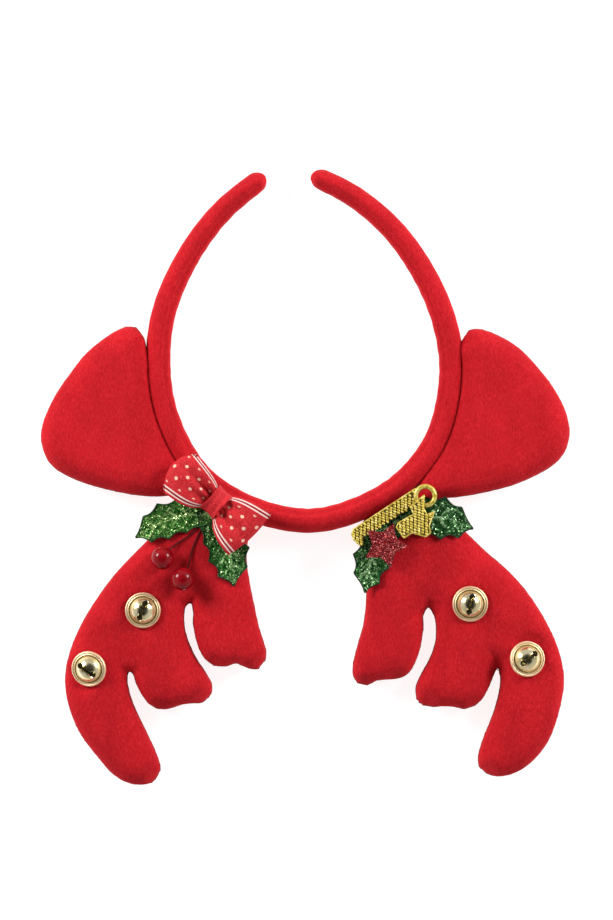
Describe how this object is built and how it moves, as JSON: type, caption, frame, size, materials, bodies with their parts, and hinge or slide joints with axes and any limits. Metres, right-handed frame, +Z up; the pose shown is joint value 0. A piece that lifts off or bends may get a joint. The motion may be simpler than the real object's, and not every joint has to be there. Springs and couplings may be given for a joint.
{
  "type": "reindeer antler headband",
  "caption": "Padded red hoop headband with stuffed reindeer antlers and ears, jingle bells, a dotted ribbon bow, holly leaves with berries, and glitter cane and star trims.",
  "frame": {"origin": "bottom centre of the whole object's box, with the headband lying flat on its back", "axes": "+Z up, out of the front face that carries the trims; +Y towards the open tips of the hoop, so the antlers point towards -Y; +X towards the side with the cane and stars"},
  "size_m": [0.2216, 0.2586, 0.0239],
  "materials": {
    "red_fabric": "brushed fleece, matt",
    "ribbon": "woven ribbon, slight sheen, printed dots and stripes",
    "bell_gold": "polished gold plating",
    "pellet_steel": "plain steel",
    "leaf_green": "green glitter",
    "berry_red": "gloss",
    "stem_wire": "covered wire, satin",
    "gold_glitter": "gold glitter relief",
    "red_glitter": "fine red glitter"
  },
  "bodies": {
    "root": {"antler_left": "red_fabric", "antler_right": "red_fabric", "bell_1": "bell_gold", "bell_1_pellet": "pellet_steel", "bell_2": "bell_gold", "bell_2_pellet": "pellet_steel", "bell_3": "bell_gold", "bell_3_pellet": "pellet_steel", "bell_4": "bell_gold", "bell_4_pellet": "pellet_steel", "berry_1": "berry_red", "berry_1_stem": "stem_wire", "berry_2": "berry_red", "berry_2_stem": "stem_wire", "bow": "ribbon", "bow_knot": "ribbon", "ear_left": "red_fabric", "ear_right": "red_fabric", "gold_cane": "gold_glitter", "gold_star": "gold_glitter", "headband": "red_fabric", "leaf_1": "leaf_green", "leaf_2": "leaf_green", "leaf_3": "leaf_green", "leaf_4": "leaf_green", "red_star": "red_glitter"}
  },
  "joints": []
}
